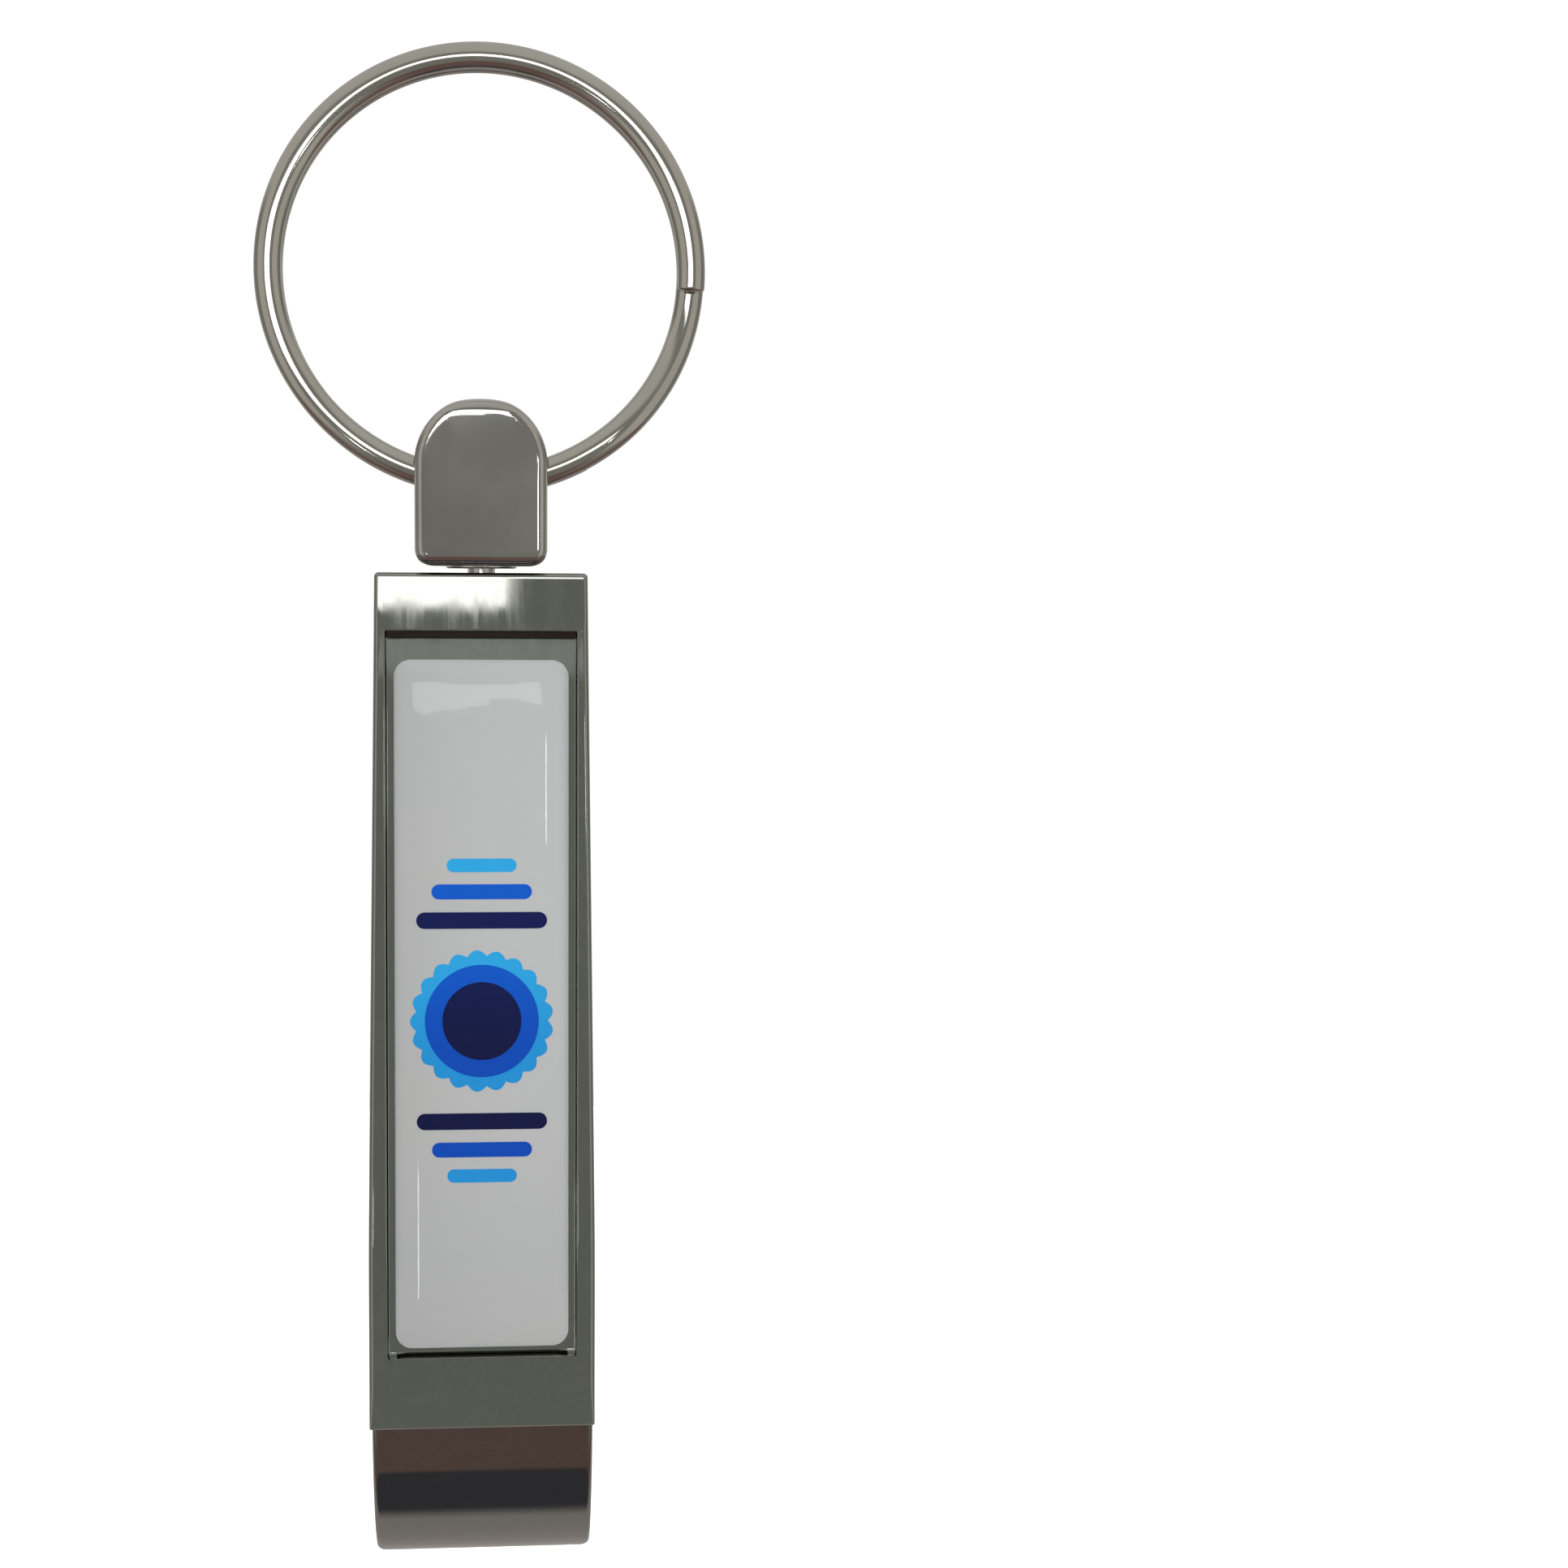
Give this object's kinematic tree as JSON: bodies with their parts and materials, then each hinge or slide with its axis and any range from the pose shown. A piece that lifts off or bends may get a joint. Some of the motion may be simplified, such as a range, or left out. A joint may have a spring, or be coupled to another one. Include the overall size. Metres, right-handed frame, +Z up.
{
  "type": "keychain bottle opener",
  "caption": "Slim die-cast cap opener with a domed label, hanging from a split key ring by a riveted swivel eye.",
  "frame": {"origin": "top of the split ring's bore, on the ring's mid-plane, where the part hangs", "axes": "+Z up as it hangs, the label faces -Y, the cap hook reaches towards +Y, width along X"},
  "size_m": [0.0294, 0.0195, 0.1045],
  "materials": {
    "bright_nickel": "bright nickel plate on spring steel wire",
    "eye_nickel": "polished nickel plate on a cast eye",
    "rivet_steel": "plain turned steel",
    "black_nickel": "gunmetal mirror plate on die-cast zinc",
    "adhesive": "clear acrylic adhesive",
    "printed_film": "white vinyl with a printed blue motif",
    "clear_resin": "clear poured resin, high gloss"
  },
  "bodies": {
    "ring": {"split_ring": "bright_nickel"},
    "eye": {"swivel_eye": "eye_nickel"},
    "opener": {"opener_body": "black_nickel", "swivel_rivet": "rivet_steel", "thrust_washer": "rivet_steel", "label_adhesive": "adhesive", "label_film": "printed_film", "label_dome": "clear_resin"}
  },
  "joints": [
    {"name": "eye_swing", "type": "hinge", "parent": "ring", "child": "eye", "pos_m": [0, 0, -0.0267], "axis": [1, 0, 0], "range_deg": [-150, 150]},
    {"name": "swivel", "type": "hinge", "parent": "eye", "child": "opener", "pos_m": [0, 0, -0.0327], "axis": [0, 0, 1], "continuous": true}
  ]
}
